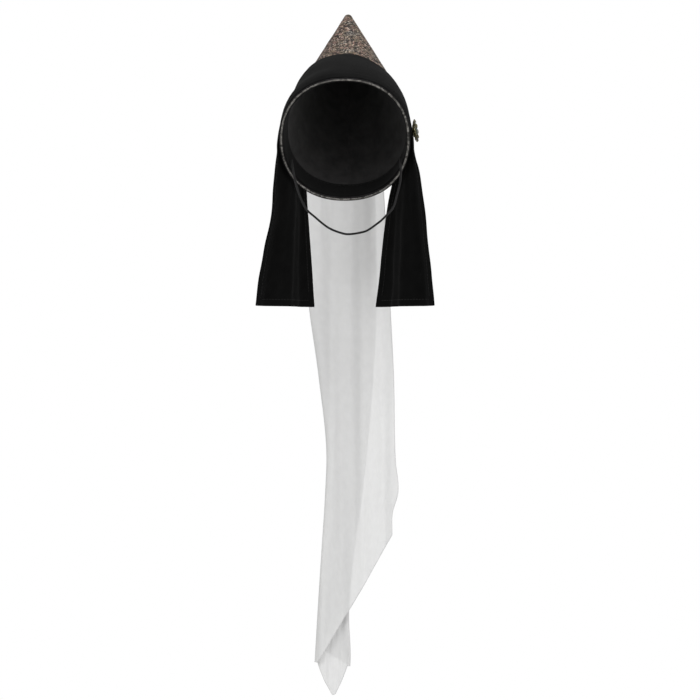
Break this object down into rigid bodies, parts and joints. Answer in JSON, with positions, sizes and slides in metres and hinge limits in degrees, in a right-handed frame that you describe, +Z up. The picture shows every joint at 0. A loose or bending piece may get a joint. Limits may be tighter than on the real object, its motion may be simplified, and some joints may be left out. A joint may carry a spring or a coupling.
{
  "type": "hennin cone hat",
  "caption": "Stiff brocade cone hat that tilts back, with a black frontlet whose lappets hang at the sides, a side brooch, an elastic chin strap and a long folded veil from the tip.",
  "frame": {"origin": "centre of the rim that the head goes into", "axes": "+X towards the wearer's left, +Y behind the head, +Z up with the hat as worn, tilted back"},
  "size_m": [0.231, 0.3401, 0.9497],
  "materials": {
    "brocade": "brown and grey metallic brocade",
    "black_cloth": "matt black cloth",
    "black_facing": "matt black cloth",
    "metal_braid": "silver and black metallic thread braid",
    "antique_gold": "antiqued cast metal",
    "green_stone": "dark green cut glass",
    "clear_stone": "clear cut glass",
    "navy_stone": "dark navy cut glass",
    "black_elastic": "matt braided elastic",
    "white_chiffon": "thin see-through chiffon"
  },
  "bodies": {
    "root": {"cone": "brocade", "frontlet": "black_cloth", "rim_facing": "black_facing", "rim_braid": "metal_braid", "brooch_setting": "antique_gold", "brooch_pin": "antique_gold", "brooch_stone": "green_stone", "brooch_stone_top": "clear_stone", "brooch_stone_low": "navy_stone", "chin_strap": "black_elastic", "veil": "white_chiffon"}
  },
  "joints": []
}
